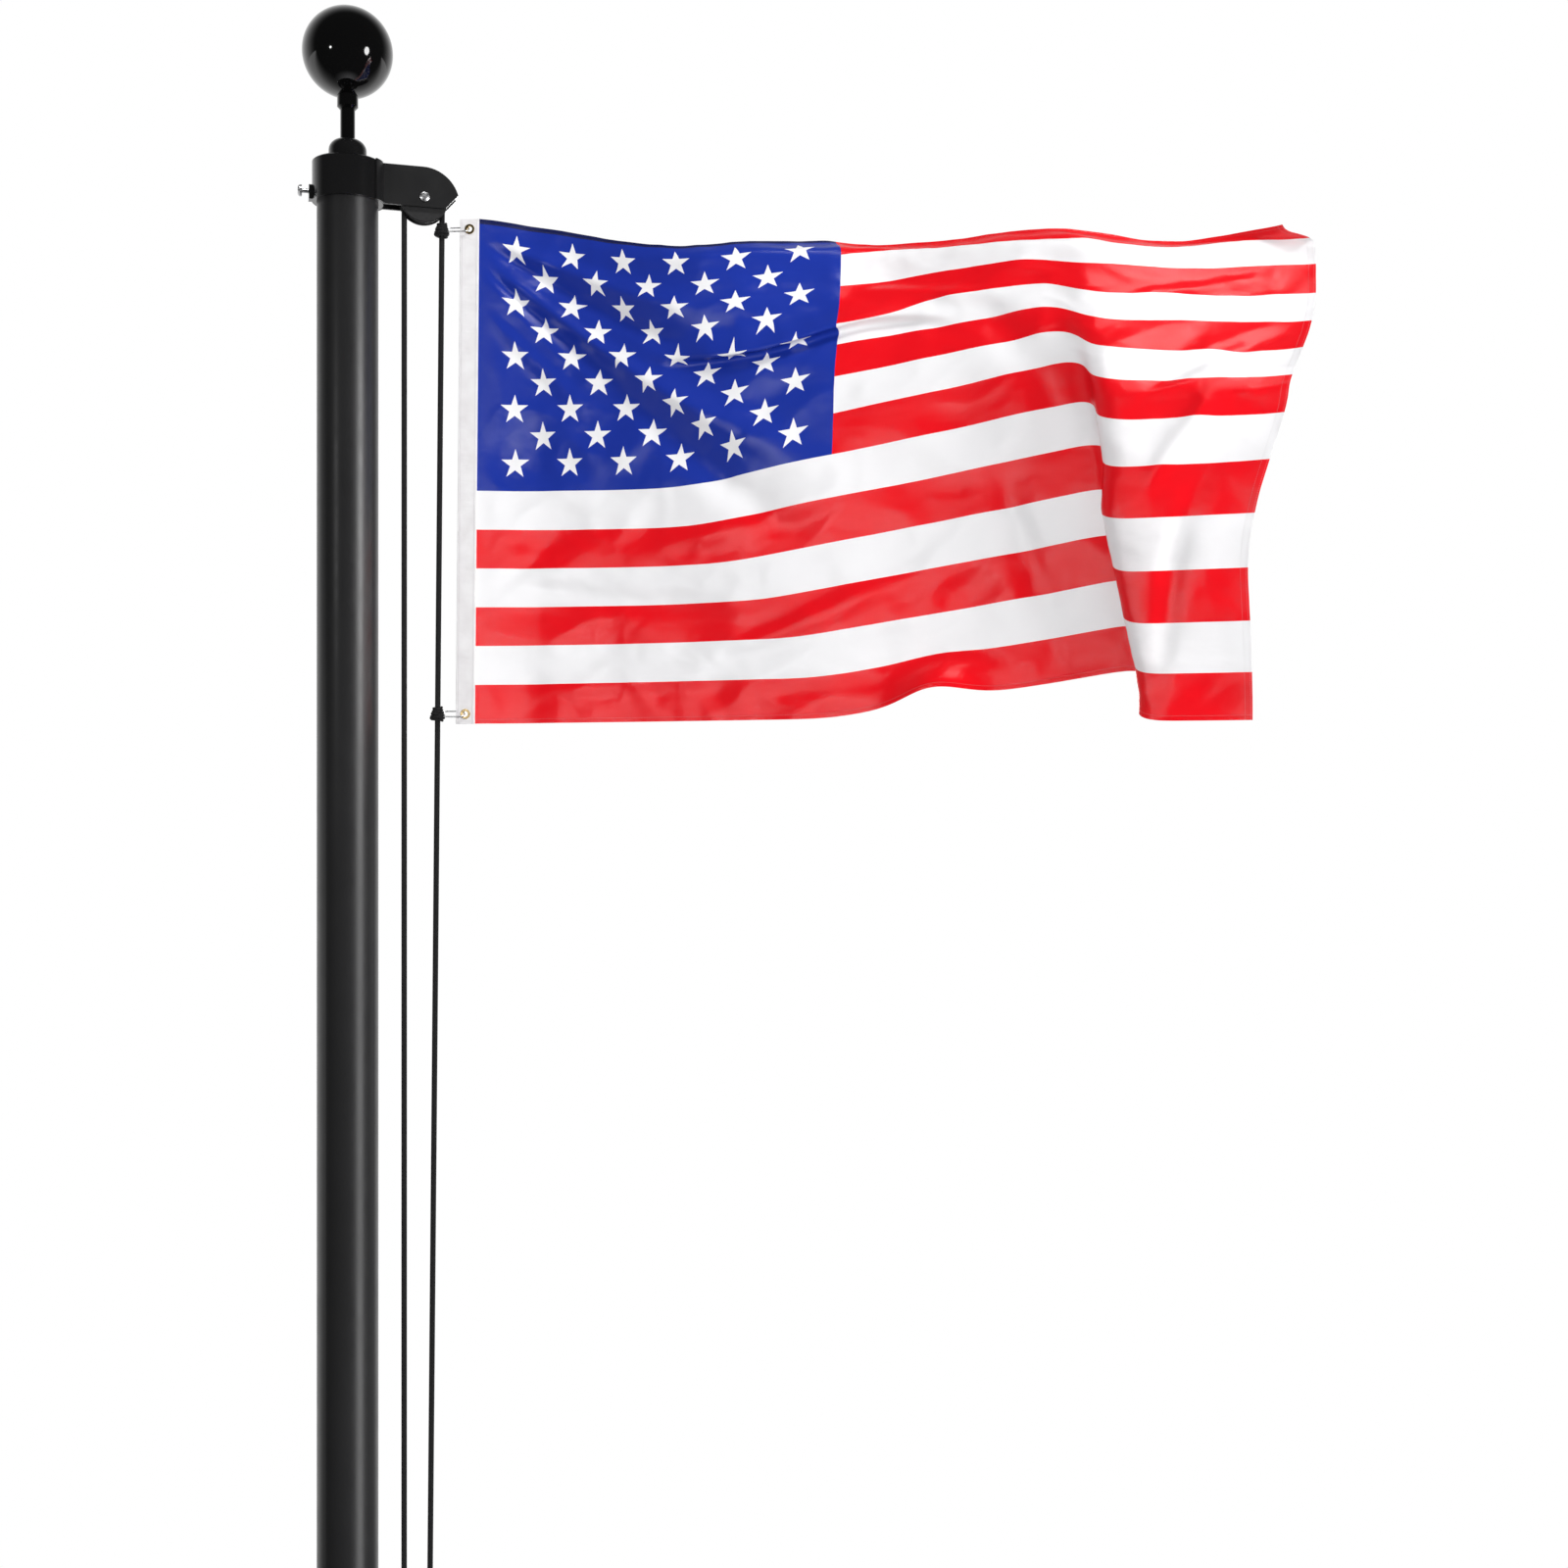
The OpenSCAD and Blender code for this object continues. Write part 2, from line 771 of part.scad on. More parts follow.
// Plan direction and rise, in degrees, at a distance s along the thread that starts at v, where v
// is 0 at the top edge and 1 at the foot
function thread_plan(s, v) =
  let (
    low = eased(v, 0, 0.5),
    at = mix(fold_at[0], fold_at[1], eased(v, -0.1, 1.1)),
    width = mix(fold_w[0], fold_w[1], eased(v, 0.2, 0.9)),
    turn = fold_deg[0] + (fold_deg[1] - fold_deg[0]) * eased(v, 0.22, 0.58)
      + (fold_deg[2] - fold_deg[1]) * eased(v, 0.5, 0.8),
    settled = mix(fly_top_deg, fly_foot_deg, low)
  )
    flag_heading_deg + (settled - flag_heading_deg) * eased(s, 0, turn_in)
    + mix(wave_deg[0], wave_deg[1], low) * sin(360 * (s - at) / wave_len) * eased(s, 0, 250)
    + top_curl_deg * (1 - eased(v, 0, roll_share)) * eased(s, 1200, 1500)
    - turn * bell((s - at) / width);
function thread_rise(s, v) =
  let (
    low = eased(v, 0, 0.5),
    foot = eased(v, 0.5, 1),
    at = mix(fold_at[0], fold_at[1], eased(v, -0.1, 1.1)),
    width = mix(fold_w[0], fold_w[1], eased(v, 0.2, 0.9)),
    top_rise = top_sag_deg * exp(-s / top_sag_len) - 0.5 + top_droop_deg * eased(s, 850, 1200),
    lift_at = 330 + 270 * foot,
    low_rise = -2.5 * (1 - foot) * (1 - eased(s, 280, 450))
      + foot_lift_deg * eased(s, lift_at, lift_at + 170) * (1 - eased(s, at - 100, at))
      + fold_drop_deg * (0.45 + 0.55 * foot) * bell((s - at) / width / 1.2)
  )
    mix(top_rise, low_rise, low);
function thread_dir(s, v) =
  let (a = thread_plan(s, v), b = thread_rise(s, v))
    [cos(b) * cos(a), cos(b) * sin(a), sin(b)];

heading_dir = [cos(flag_heading_deg), sin(flag_heading_deg), 0];
function thread(v) =
  let (
    step = cloth_len / walk_steps,
    roll = (1 - eased(v, -0.02, roll_share)) * [0, roll_back, -roll_drop]
  )
    [
      for (
        i = 0, p = on_leg(flag_top_z - flag_hoist * v)
          + (snap_reach + heading_w + cloth_gap) * heading_dir;
        i <= walk_steps;
        p = p + step * thread_dir((i + 0.5) * step, v), i = i + 1
      )
        p + eased(i * step, 50, 500) * roll
    ];

module flag() {
  threads = [for (j = [0:cloth_rows]) thread(j / cloth_rows)];
  cols = len(cloth_columns) - 1;
  grid = [for (i = cloth_columns) [for (j = [0:cloth_rows]) threads[j][i]]];
  // the cloth's face direction at each point, from its neighbours
  face = [
    for (i = [0:cols])
      [
        for (j = [0:cloth_rows])
          unit(cross(
            grid[min(i + 1, cols)][j] - grid[max(i - 1, 0)][j],
            grid[i][min(j + 1, cloth_rows)] - grid[i][max(j - 1, 0)]
          ))
      ]
  ];
  row = cloth_rows + 1;
  sheet = (cols + 1) * row;
  points = [
    for (side = [-1, 1])
      for (i = [0:cols])
        for (j = [0:cloth_rows])
          grid[i][j] + side * cloth_t / 2 * face[i][j]
  ];
  function quad(a, b, c, d) = [[a, b, c], [a, c, d]];
  front = [
    for (i = [0:cols - 1])
      for (j = [0:cloth_rows - 1])
        each quad(i * row + j, (i + 1) * row + j, (i + 1) * row + j + 1, i * row + j + 1)
  ];
  back = [for (f = front) [f[0] + sheet, f[2] + sheet, f[1] + sheet]];
  rim = concat(
    [for (i = [0:cols - 1]) [i * row, (i + 1) * row]],
    [for (j = [0:cloth_rows - 1]) [cols * row + j, cols * row + j + 1]],
    [for (i = [cols:-1:1]) [i * row + cloth_rows, (i - 1) * row + cloth_rows]],
    [for (j = [cloth_rows:-1:1]) [j, j - 1]]
  );
  edges = [for (e = rim) each quad(e[1], e[0], e[0] + sheet, e[1] + sheet)];
  color("firebrick")
    polyhedron(points, concat(front, back, edges), convexity = 10);
}

base_shoe();
base_set_screws();
lower_section();
upper_section();
splice_sleeve();
splice_screws();
cleat();
cleat_screws();
truck_collar();
truck_hub();
finial_rod();
finial_ferrule();
finial_ball();
clamp_screw();
arm_front_cheek();
arm_rear_cheek();
arm_web();
axle();
axle_nut();
sheave();
halyard();
upper_knot();
lower_knot();
upper_snap_ring();
lower_snap_ring();
upper_grommet();
lower_grommet();
heading();
flag();
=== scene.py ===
"""Looks of a flagpole: black pole, gloss ball, pulley truck, braided halyard and a flying flag.

Metres, +Z up, origin under the base flange. The flag flies along +X and towards -Y.
"""

import json
import math

import bmesh
import bpy
import numpy as np
from mathutils import Matrix, Vector, noise

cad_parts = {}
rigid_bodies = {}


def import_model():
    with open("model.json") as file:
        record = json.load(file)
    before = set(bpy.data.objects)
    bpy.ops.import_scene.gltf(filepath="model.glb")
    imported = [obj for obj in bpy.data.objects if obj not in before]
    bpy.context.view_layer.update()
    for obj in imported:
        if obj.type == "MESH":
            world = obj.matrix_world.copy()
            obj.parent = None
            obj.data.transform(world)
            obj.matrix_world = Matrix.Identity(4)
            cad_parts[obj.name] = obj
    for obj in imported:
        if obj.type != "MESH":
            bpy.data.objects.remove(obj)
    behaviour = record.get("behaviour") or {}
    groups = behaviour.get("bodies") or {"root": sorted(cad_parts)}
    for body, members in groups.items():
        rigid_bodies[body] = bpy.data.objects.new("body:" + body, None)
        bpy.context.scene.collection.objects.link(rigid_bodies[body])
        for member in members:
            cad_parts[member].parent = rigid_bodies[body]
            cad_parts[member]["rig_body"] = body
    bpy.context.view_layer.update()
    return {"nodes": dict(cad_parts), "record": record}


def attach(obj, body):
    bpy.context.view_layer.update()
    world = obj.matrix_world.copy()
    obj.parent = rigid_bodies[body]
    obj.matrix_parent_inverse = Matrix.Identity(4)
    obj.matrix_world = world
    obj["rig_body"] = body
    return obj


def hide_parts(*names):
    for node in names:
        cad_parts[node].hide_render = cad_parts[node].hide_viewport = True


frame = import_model()
NODES, SUBPARTS = frame["nodes"], frame["record"]["subparts"]

# ---- sizes that the CAD source holds too, in metres and degrees ----

POLE_R = 0.054
ROPE_R = 0.005
# The sheave's axle, and the radius at which the rope runs over it
SHEAVE_X, SHEAVE_Z, RUN_R = 0.134, 6.050, 0.034
# The halyard's outer leg, and the heights of the flag's two clips on it
LEG_TOP = Vector((0.168, 0.0, 6.050))
LEG_FOOT = Vector((0.130, 0.016, 1.500))
UPPER_CLIP_Z, LOWER_CLIP_Z = 5.998, 5.120
CLEAT_Z = 1.370
# A grommet's middle from the flag's edges, and the heading's edge from the rope's middle
GROMMET_IN = 0.018
SNAP_REACH = 0.034
HEADING_DEG = -24
HEADING_W, HEADING_T = 0.035, 0.003
HOIST, FLY = 0.914, 1.524
CLOTH_LEN = FLY - HEADING_W
CLOTH_GAP = 0.0006


def on_leg(z):
    """The point of the halyard's outer leg at height z."""
    return LEG_FOOT.lerp(LEG_TOP, (z - LEG_FOOT.z) / (LEG_TOP.z - LEG_FOOT.z))


def leg_matrix(z):
    """A frame at height z on the outer leg, with its Z axis along the leg."""
    drop = LEG_TOP.z - LEG_FOOT.z
    lean_x = math.atan((LEG_TOP.x - LEG_FOOT.x) / drop)
    lean_y = math.atan((LEG_FOOT.y - LEG_TOP.y) / drop)
    return (
        Matrix.Translation(on_leg(z))
        @ Matrix.Rotation(lean_x, 4, "Y")
        @ Matrix.Rotation(lean_y, 4, "X")
    )


# ---- materials ----


class Nodes:
    """Short calls for building a node tree."""

    def __init__(self, tree):
        self.tree = tree

    def add(self, kind, inputs=None, **settings):
        node = self.tree.nodes.new("ShaderNode" + kind)
        for key, value in settings.items():
            setattr(node, key, value)
        for key, value in (inputs or {}).items():
            self.put(node.inputs[key], value)
        return node

    def put(self, socket, value):
        if isinstance(value, bpy.types.NodeSocket):
            self.tree.links.new(value, socket)
        else:
            socket.default_value = value

    def math(self, operation, *values):
        node = self.add("Math", operation=operation)
        for i, value in enumerate(values):
            self.put(node.inputs[i], value)
        return node.outputs[0]

    def hypot(self, a, b):
        squares = [self.math("MULTIPLY", value, value) for value in (a, b)]
        return self.math("SQRT", self.math("ADD", *squares))

    def spread(self, value, low, high, out_low, out_high, **settings):
        """The value, mapped from low and high to out_low and out_high."""
        made = self.add(
            "MapRange",
            {
                "Value": value,
                "From Min": low,
                "From Max": high,
                "To Min": out_low,
                "To Max": out_high,
            },
            **settings,
        )
        return made.outputs["Result"]


class Material(Nodes):
    """A material with a Principled shader, and calls for what its surface is drawn with."""

    def __init__(self, name):
        self.material = bpy.data.materials.new(name)
        self.material.use_nodes = True
        super().__init__(self.material.node_tree)
        self.shader = self.tree.nodes["Principled BSDF"]

    def set(self, **values):
        """Set the shader's inputs, which are named with underscores for spaces."""
        for key, value in values.items():
            self.put(self.shader.inputs[key.replace("_", " ")], value)

    def blend(self, share, other):
        """Mix a share of another shader into the surface."""
        mixed = self.add("MixShader", {"Fac": share})
        self.put(mixed.inputs[1], self.shader.outputs[0])
        self.put(mixed.inputs[2], other.outputs[0])
        self.put(self.tree.nodes["Material Output"].inputs["Surface"], mixed.outputs[0])

    def mix(self, factor, a, b):
        node = self.add("Mix", data_type="RGBA")
        self.put(node.inputs["Factor"], factor)
        self.put(node.inputs["A"], a)
        self.put(node.inputs["B"], b)
        return node.outputs["Result"]

    def noise(self, scale, detail=3.0, stretch=(1, 1, 1)):
        """Noise on the object's own metres, stretched along its axes."""
        at = self.add("TexCoord").outputs["Object"]
        if stretch != (1, 1, 1):
            at = self.add("Mapping", {"Vector": at, "Scale": stretch}).outputs[0]
        made = self.add("TexNoise", {"Vector": at, "Scale": scale, "Detail": detail})
        return made.outputs["Fac"]

    def bump(self, height, distance, strength=1.0, below=None):
        inputs = {"Height": height, "Distance": distance, "Strength": strength}
        if below is not None:
            inputs["Normal"] = below
        return self.add("Bump", inputs).outputs["Normal"]

    def uv(self, layer, across, down):
        """X and Y of a UV layer, each times a factor."""
        at = self.add("SeparateXYZ", {"Vector": self.add("UVMap", uv_map=layer).outputs[0]})
        scaled = (("X", across), ("Y", down))
        return [self.math("MULTIPLY", at.outputs[axis], factor) for axis, factor in scaled]

    def weave(self, across, down, pitch):
        """A plain weave: warp and weft as waves of one pitch."""
        angles = [self.math("MULTIPLY", value, math.tau / pitch) for value in (across, down)]
        return self.math("MULTIPLY", *[self.math("SINE", angle) for angle in angles])

    def stitches(self, along, pitch, gap):
        """1 on each stitch along a seam, and 0 in the gap, a share of the pitch, before it."""
        place = self.math("FRACT", self.math("DIVIDE", along, pitch))
        return self.math("GREATER_THAN", place, gap)


def grey(value):
    """A neutral tone, a touch cool."""
    return (value, value, value * 1.04, 1)


def coated(name, tone, rough, grain, depth, coat=0.0, shine=0.5):
    """Paint or powder coat: a fine skin, soft patches of dust and a little change in gloss."""
    n = Material(name)
    patches = n.spread(n.noise(9, 4, (1, 1, 0.35)), 0.35, 0.7, 0, 1)
    n.set(
        Base_Color=n.mix(patches, grey(tone), grey(tone * 1.2)),
        Roughness=n.spread(n.noise(30), 0.3, 0.7, rough * 0.92, rough * 1.1),
        Normal=n.bump(n.noise(grain, 2), depth),
        Specular_IOR_Level=shine,
        Coat_Weight=coat,
        Coat_Roughness=0.04,
    )
    return n.material


def bare_metal(name, colour, rough, brush=(1, 1, 1)):
    """Bright metal with a fine brushed or rolled grain and faint dulling."""
    n = Material(name)
    dull = n.spread(n.noise(160, 4), 0.35, 0.75, 0, 1)
    hem_shade = tuple(c * 0.78 for c in colour)
    n.set(
        Base_Color=n.mix(dull, (*colour, 1), (*hem_shade, 1)),
        Metallic=1.0,
        Roughness=n.spread(n.noise(420, 3, brush), 0.3, 0.7, rough * 0.8, rough * 1.3),
        Normal=n.bump(n.noise(900, 2, brush), 0.00004, 0.5),
    )
    return n.material


def nylon(name):
    """Dull black nylon with faint turning rings."""
    n = Material(name)
    rings = n.noise(260, 3, (1, 0.2, 1))
    n.set(
        Base_Color=n.mix(rings, grey(0.010), grey(0.020)),
        Roughness=n.spread(rings, 0.3, 0.7, 0.42, 0.58),
        Specular_IOR_Level=0.3,
        Normal=n.bump(rings, 0.00006),
    )
    return n.material


# The rope's plaits: how many stand round it, and how many on a metre of it
PLAITS_ROUND, PLAITS_PER_M = 6.0, 220.0


def braid(name):
    """Black braided rope: slanted plaits both ways, from UV of turns round and metres along."""
    n = Material(name)
    turn, along = n.uv("braid", PLAITS_ROUND, PLAITS_PER_M)
    ways = [
        n.math("SINE", n.math("MULTIPLY", n.math(way, turn, along), math.tau))
        for way in ("ADD", "SUBTRACT")
    ]
    plait = n.math("MAXIMUM", *ways)
    # Painted shade: the grooves between the plaits are darker than their crests
    n.set(
        Base_Color=n.mix(n.spread(plait, -1, 1, 0, 1), grey(0.004), grey(0.013)),
        Roughness=0.72,
        Specular_IOR_Level=0.2,
        Normal=n.bump(n.noise(1500, 2), 0.0001, 0.4, n.bump(plait, 0.0006)),
        Sheen_Weight=0.04,
    )
    return n.material


# The heading's weave, its two rows of stitching from its edge, and half the thread's width
TAPE_WEAVE = 0.0011
TAPE_ROWS, TAPE_THREAD = (0.0042, 0.0308), 0.00045


def canvas(name):
    """White canvas tape: a visible weave and two rows of stitching down its length."""
    n = Material(name)
    across, down = n.uv("tape", HEADING_W, HOIST)
    rows = [n.math("COMPARE", across, x, TAPE_THREAD) for x in TAPE_ROWS]
    stitch = n.math("MULTIPLY", n.math("ADD", *rows), n.stitches(down, 0.0034, 0.3))
    soil = n.spread(n.noise(28, 4), 0.35, 0.75, 0, 1)
    cloth = n.mix(soil, (0.86, 0.85, 0.86, 1), (0.76, 0.74, 0.75, 1))
    weave = n.bump(n.weave(across, down, TAPE_WEAVE), 0.0002, 0.6)
    n.set(
        Base_Color=n.mix(stitch, cloth, (0.66, 0.64, 0.66, 1)),
        Roughness=0.86,
        Normal=n.bump(stitch, -0.0005, 1, weave),
        Sheen_Weight=0.2,
    )
    return n.material


# Stars and stripes: a star's reach and the union's length are shares of the hoist
STRIPES, UNION_STRIPES = 13, 7
UNION_LEN, UNION_H = 0.76 * HOIST, HOIST * UNION_STRIPES / STRIPES
STAR_R = 0.0308 * HOIST
# Half the angle of a star's point
STAR_TIP = math.radians(18)
# The columns stand a little closer than twelfths of the union, which leaves a wider rim
STAR_COLUMNS, STAR_ROWS = 11, 9
STAR_STEP_X, STAR_STEP_Y = 0.0796 * UNION_LEN, UNION_H / (STAR_ROWS + 1)
RED, WHITE = (0.78, 0.004, 0.010, 1), (0.84, 0.835, 0.85, 1)
# The near-black after the blue is painted on the hems as shade
BLUE, SHADE_NAVY = (0.011, 0.032, 0.31, 1), (0.01, 0.01, 0.02, 1)
THREAD = (0.8, 0.78, 0.8, 1)
# Hems, how far a seam lies inside its hem or the fly's edge, and half a seam's width
HEM_W, FLY_HEM_W = 0.009, 0.013
SEAM_IN, FLY_SEAM_IN, SEAM_THREAD = 0.0015, 0.003, 0.0004
NYLON_WEAVE = 0.0007
# The translucent share of the cloth's surface
SHEER = 0.22


def stars(n, along, down):
    """1 inside a star. One stands where column and row, counted from the corner, sum to even."""
    first = UNION_LEN / 2 - (STAR_COLUMNS + 1) / 2 * STAR_STEP_X
    column = n.math("DIVIDE", n.math("SUBTRACT", along, first), STAR_STEP_X)
    row = n.math("DIVIDE", down, STAR_STEP_Y)
    a = n.math("ROUND", n.math("DIVIDE", n.math("ADD", column, row), 2.0))
    b = n.math("ROUND", n.math("DIVIDE", n.math("SUBTRACT", column, row), 2.0))
    star_column, star_row = n.math("ADD", a, b), n.math("SUBTRACT", a, b)
    off_x = n.math("MULTIPLY", n.math("SUBTRACT", column, star_column), STAR_STEP_X)
    off_y = n.math("MULTIPLY", n.math("SUBTRACT", star_row, row), STAR_STEP_Y)
    angle = n.math("ARCTAN2", off_x, off_y)
    fifth = n.math("ABSOLUTE", n.math("WRAP", angle, math.pi / 5, -math.pi / 5))
    edge = n.math("SINE", n.math("ADD", fifth, STAR_TIP))
    reach = n.math("MULTIPLY", n.hypot(off_x, off_y), edge)
    inside = n.math("LESS_THAN", reach, STAR_R * math.sin(STAR_TIP))
    for value, last in ((star_column, STAR_COLUMNS), (star_row, STAR_ROWS)):
        inside = n.math("MULTIPLY", inside, n.math("GREATER_THAN", value, 0.5))
        inside = n.math("MULTIPLY", inside, n.math("LESS_THAN", value, last + 0.5))
    return inside


def printed_flag(name):
    """Printed nylon. UV X runs along the cloth from the heading and UV Y down it."""
    n = Material(name)
    along, down = n.uv("print", CLOTH_LEN, HOIST)
    stripe = n.math("FLOOR", n.math("DIVIDE", down, HOIST / STRIPES))
    is_white = n.math("GREATER_THAN", n.math("MODULO", stripe, 2.0), 0.5)
    in_union = n.math(
        "MULTIPLY",
        n.math("LESS_THAN", along, UNION_LEN),
        n.math("LESS_THAN", down, UNION_H),
    )
    union = n.mix(stars(n, along, down), BLUE, WHITE)
    colour = n.mix(in_union, n.mix(is_white, RED, WHITE), union)

    # Painted shade: hems a little darker where the cloth is double, and the union's top hem nearly
    # black
    from_edge = n.math("MINIMUM", down, n.math("SUBTRACT", HOIST, down))
    from_fly = n.math("SUBTRACT", CLOTH_LEN, along)
    hem = n.math(
        "MAXIMUM",
        n.math("LESS_THAN", from_edge, HEM_W),
        n.math("LESS_THAN", from_fly, FLY_HEM_W),
    )
    top_hem = n.math("MULTIPLY", in_union, n.math("LESS_THAN", down, HEM_W))
    hem_shade = n.math("MAXIMUM", n.math("MULTIPLY", hem, 0.03), n.math("MULTIPLY", top_hem, 0.8))
    colour = n.mix(hem_shade, colour, SHADE_NAVY)

    # Lock stitches along the hems, fainter on the union
    seams = [
        n.math("COMPARE", from_edge, HEM_W - SEAM_IN, SEAM_THREAD),
        n.math("COMPARE", from_fly, FLY_SEAM_IN, SEAM_THREAD),
        n.math("COMPARE", from_fly, FLY_HEM_W - SEAM_IN, SEAM_THREAD),
    ]
    seam = n.math("MAXIMUM", seams[0], n.math("MAXIMUM", seams[1], seams[2]))
    stitch = n.math("MULTIPLY", seam, n.stitches(n.math("ADD", along, down), 0.003, 0.35))
    shown = n.spread(in_union, 0, 1, 0.15, 0.06)
    colour = n.mix(n.math("MULTIPLY", stitch, shown), colour, THREAD)

    crease = n.bump(n.noise(34, 4, (1, 1, 1.6)), 0.0016, 0.35)
    skin = n.bump(n.weave(along, down, NYLON_WEAVE), 0.00005, 0.4, crease)
    n.set(
        Base_Color=colour,
        Roughness=n.spread(n.noise(60, 3), 0.3, 0.7, 0.18, 0.23),
        Specular_IOR_Level=0.36,
        Normal=n.bump(stitch, -0.0004, 1, skin),
    )
    n.blend(SHEER, n.add("BsdfTranslucent", {"Color": colour, "Normal": skin}))
    return n.material


LOOKS = {
    "pole_coat": coated("pole_coat", 0.019, 0.33, 1400, 0.00002, shine=0.42),
    "cast_black": coated("cast_black", 0.014, 0.15, 420, 0.00002, coat=0.2),
    "gloss_black": coated("gloss_black", 0.004, 0.07, 300, 0.00001, coat=0.4),
    "plate_black": coated("plate_black", 0.009, 0.33, 900, 0.00003, shine=0.35),
    "bright_steel": bare_metal("bright_steel", (0.74, 0.74, 0.75), 0.30),
    "bare_aluminium": bare_metal("bare_aluminium", (0.72, 0.72, 0.73), 0.34, (1, 1, 0.05)),
    "sheave_nylon": nylon("sheave_nylon"),
    "rope_black": braid("rope_black"),
    "brass": bare_metal("brass", (0.78, 0.57, 0.27), 0.22),
    "canvas": canvas("canvas"),
    "flag_cloth": printed_flag("flag_cloth"),
}

# Every CAD piece takes the look of its slot
for part in SUBPARTS:
    mesh = NODES[part["node"]].data
    mesh.materials.clear()
    mesh.materials.append(LOOKS[part["material_slot"]])


def finish_piece(piece, slot, body, *replaced):
    """Give a piece its look, the CAD nodes it stands for and the body it rides on."""
    piece.data.materials.append(LOOKS[slot])
    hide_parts(*replaced)
    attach(piece, body)
    return piece


def new_piece(name, points, faces, smooth=True):
    """A mesh object in the scene."""
    mesh = bpy.data.meshes.new(name)
    mesh.from_pydata([tuple(p) for p in points], [], faces)
    mesh.update()
    if smooth:
        mesh.shade_smooth()
    piece = bpy.data.objects.new(name, mesh)
    bpy.context.scene.collection.objects.link(piece)
    return piece


def quad(i, k, wide):
    """The face at point k between rows i and i + 1 of wide points. A row's last joins its first."""
    after = (k + 1) % wide
    return (i * wide + k, i * wide + after, (i + 1) * wide + after, (i + 1) * wide + k)


def tube_faces(rings, sides):
    """The walls round a stack of rings of points, and a face over each end."""
    walls = [quad(i, k, sides) for i in range(rings - 1) for k in range(sides)]
    last = (rings - 1) * sides
    return [*walls, tuple(range(sides))[::-1], tuple(last + k for k in range(sides))]


# ---- rope and knots ----

ROPE_SIDES, SHEAVE_STEPS = 20, 24
# Steps along the rope round the cleat and along the straight leg, and the gap between its ends,
# which lies inside the upper knot
TURN_STEP, LEG_STEP, END_GAP = 0.004, 0.05, 0.0005


def smooth_route(points, step):
    """Points about step apart on a smooth curve through the given ones."""
    p = [2 * points[0] - points[1], *points, 2 * points[-1] - points[-2]]
    out = []
    for i in range(1, len(p) - 2):
        a, b, c, d = p[i - 1 : i + 3]
        # A long straight run keeps short handles, so that it can't swing wide at its ends
        span = (c - b).length
        m1 = (c - a).normalized() * min(span, (b - a).length)
        m2 = (d - b).normalized() * min(span, (d - c).length)
        count = max(2, round(span / step))
        for k in range(count):
            t = k / count
            out.append(
                (2 * t**3 - 3 * t**2 + 1) * b
                + (t**3 - 2 * t**2 + t) * m1
                + (-2 * t**3 + 3 * t**2) * c
                + (t**3 - t**2) * m2
            )
    return [*out, points[-1]]


def tube(name, route, radius, sides):
    """A round rope along a route, with UV "braid": turns round, and metres along."""
    rings, normal, length, lengths = [], Vector((0, 1, 0)), 0.0, [0.0]
    for i, p in enumerate(route):
        along = (route[min(i + 1, len(route) - 1)] - route[max(i - 1, 0)]).normalized()
        normal = (normal - along * normal.dot(along)).normalized()
        side = along.cross(normal)
        angles = [math.tau * k / sides for k in range(sides)]
        rings += [p + radius * (math.cos(a) * normal + math.sin(a) * side) for a in angles]
        if i:
            length += (p - route[i - 1]).length
            lengths.append(length)
    piece = new_piece(name, rings, tube_faces(len(route), sides))
    uv = piece.data.uv_layers.new(name="braid")
    for face in piece.data.polygons:
        # The last face round holds the seam, so its points on the first side take a whole turn
        wraps = any(v % sides == sides - 1 for v in face.vertices)
        for loop in face.loop_indices:
            ring, k = divmod(piece.data.loops[loop].vertex_index, sides)
            turn = 1.0 if wraps and k == 0 else k / sides
            uv.data[loop].uv = (turn, lengths[ring])
    return piece


# Turns round the cleat: out from the pole's face, sideways, and up from the cleat's middle, in mm
CLEAT_TURNS = [
    (44, -15.5, 130), (40, -15.5, 60), (32, -15.5, 20), (24, -15.5, -14), (19, -15, -26),
    (16, -9, -33), (15.5, 0, -35), (16, 9, -33), (19, 15, -26), (30, 16, -18), (42, 16, -13),
    (53, 15.5, -9), (58, 8.5, -5), (58.5, 0, 0), (58, -8.5, 5), (53, -17, 10), (46, -26, 20),
    (32, -27, 28), (20, -22, 36), (16, -11, 40), (15.5, 0, 42), (16, 11, 40), (19, 17, 36),
    (32, 17.5, 28), (46, 17, 20), (60, 15.5, 12), (68.5, 9, 6), (69.5, 0, 0), (68.5, -9, -6),
    (60, -17, -12), (46, -18, -22), (32, -17, -34), (20, -13, -44), (16, -8, -47.5),
    (15.5, 0, -49), (16, 8, -47.5), (19, 15, -44), (30, 22, -38), (44, 27, -26), (58, 28, -8),
    (68, 26, 14), (74, 20, 60),
]  # fmt: skip


def halyard_route():
    """From the upper knot over the sheave to the cleat, round it, and up the outer leg again."""
    angles = [math.pi * i / SHEAVE_STEPS for i in range(SHEAVE_STEPS + 1)]
    over_sheave = [
        Vector((SHEAVE_X + RUN_R * math.cos(a), 0, SHEAVE_Z + RUN_R * math.sin(a))) for a in angles
    ]
    turns = [Vector((POLE_R + x / 1000, y / 1000, CLEAT_Z + z / 1000)) for x, y, z in CLEAT_TURNS]
    return [
        on_leg(UPPER_CLIP_Z),
        *over_sheave,
        *smooth_route(turns, TURN_STEP),
        *smooth_route([LEG_FOOT, on_leg(UPPER_CLIP_Z - END_GAP)], LEG_STEP),
    ]


rope = tube("halyard_rope", halyard_route(), ROPE_R, ROPE_SIDES)
finish_piece(rope, "rope_black", "pole", "halyard")

KNOT_CORD_R, KNOT_H = 0.0024, 0.0238
KNOT_SIDES, KNOT_STEPS = 12, 90
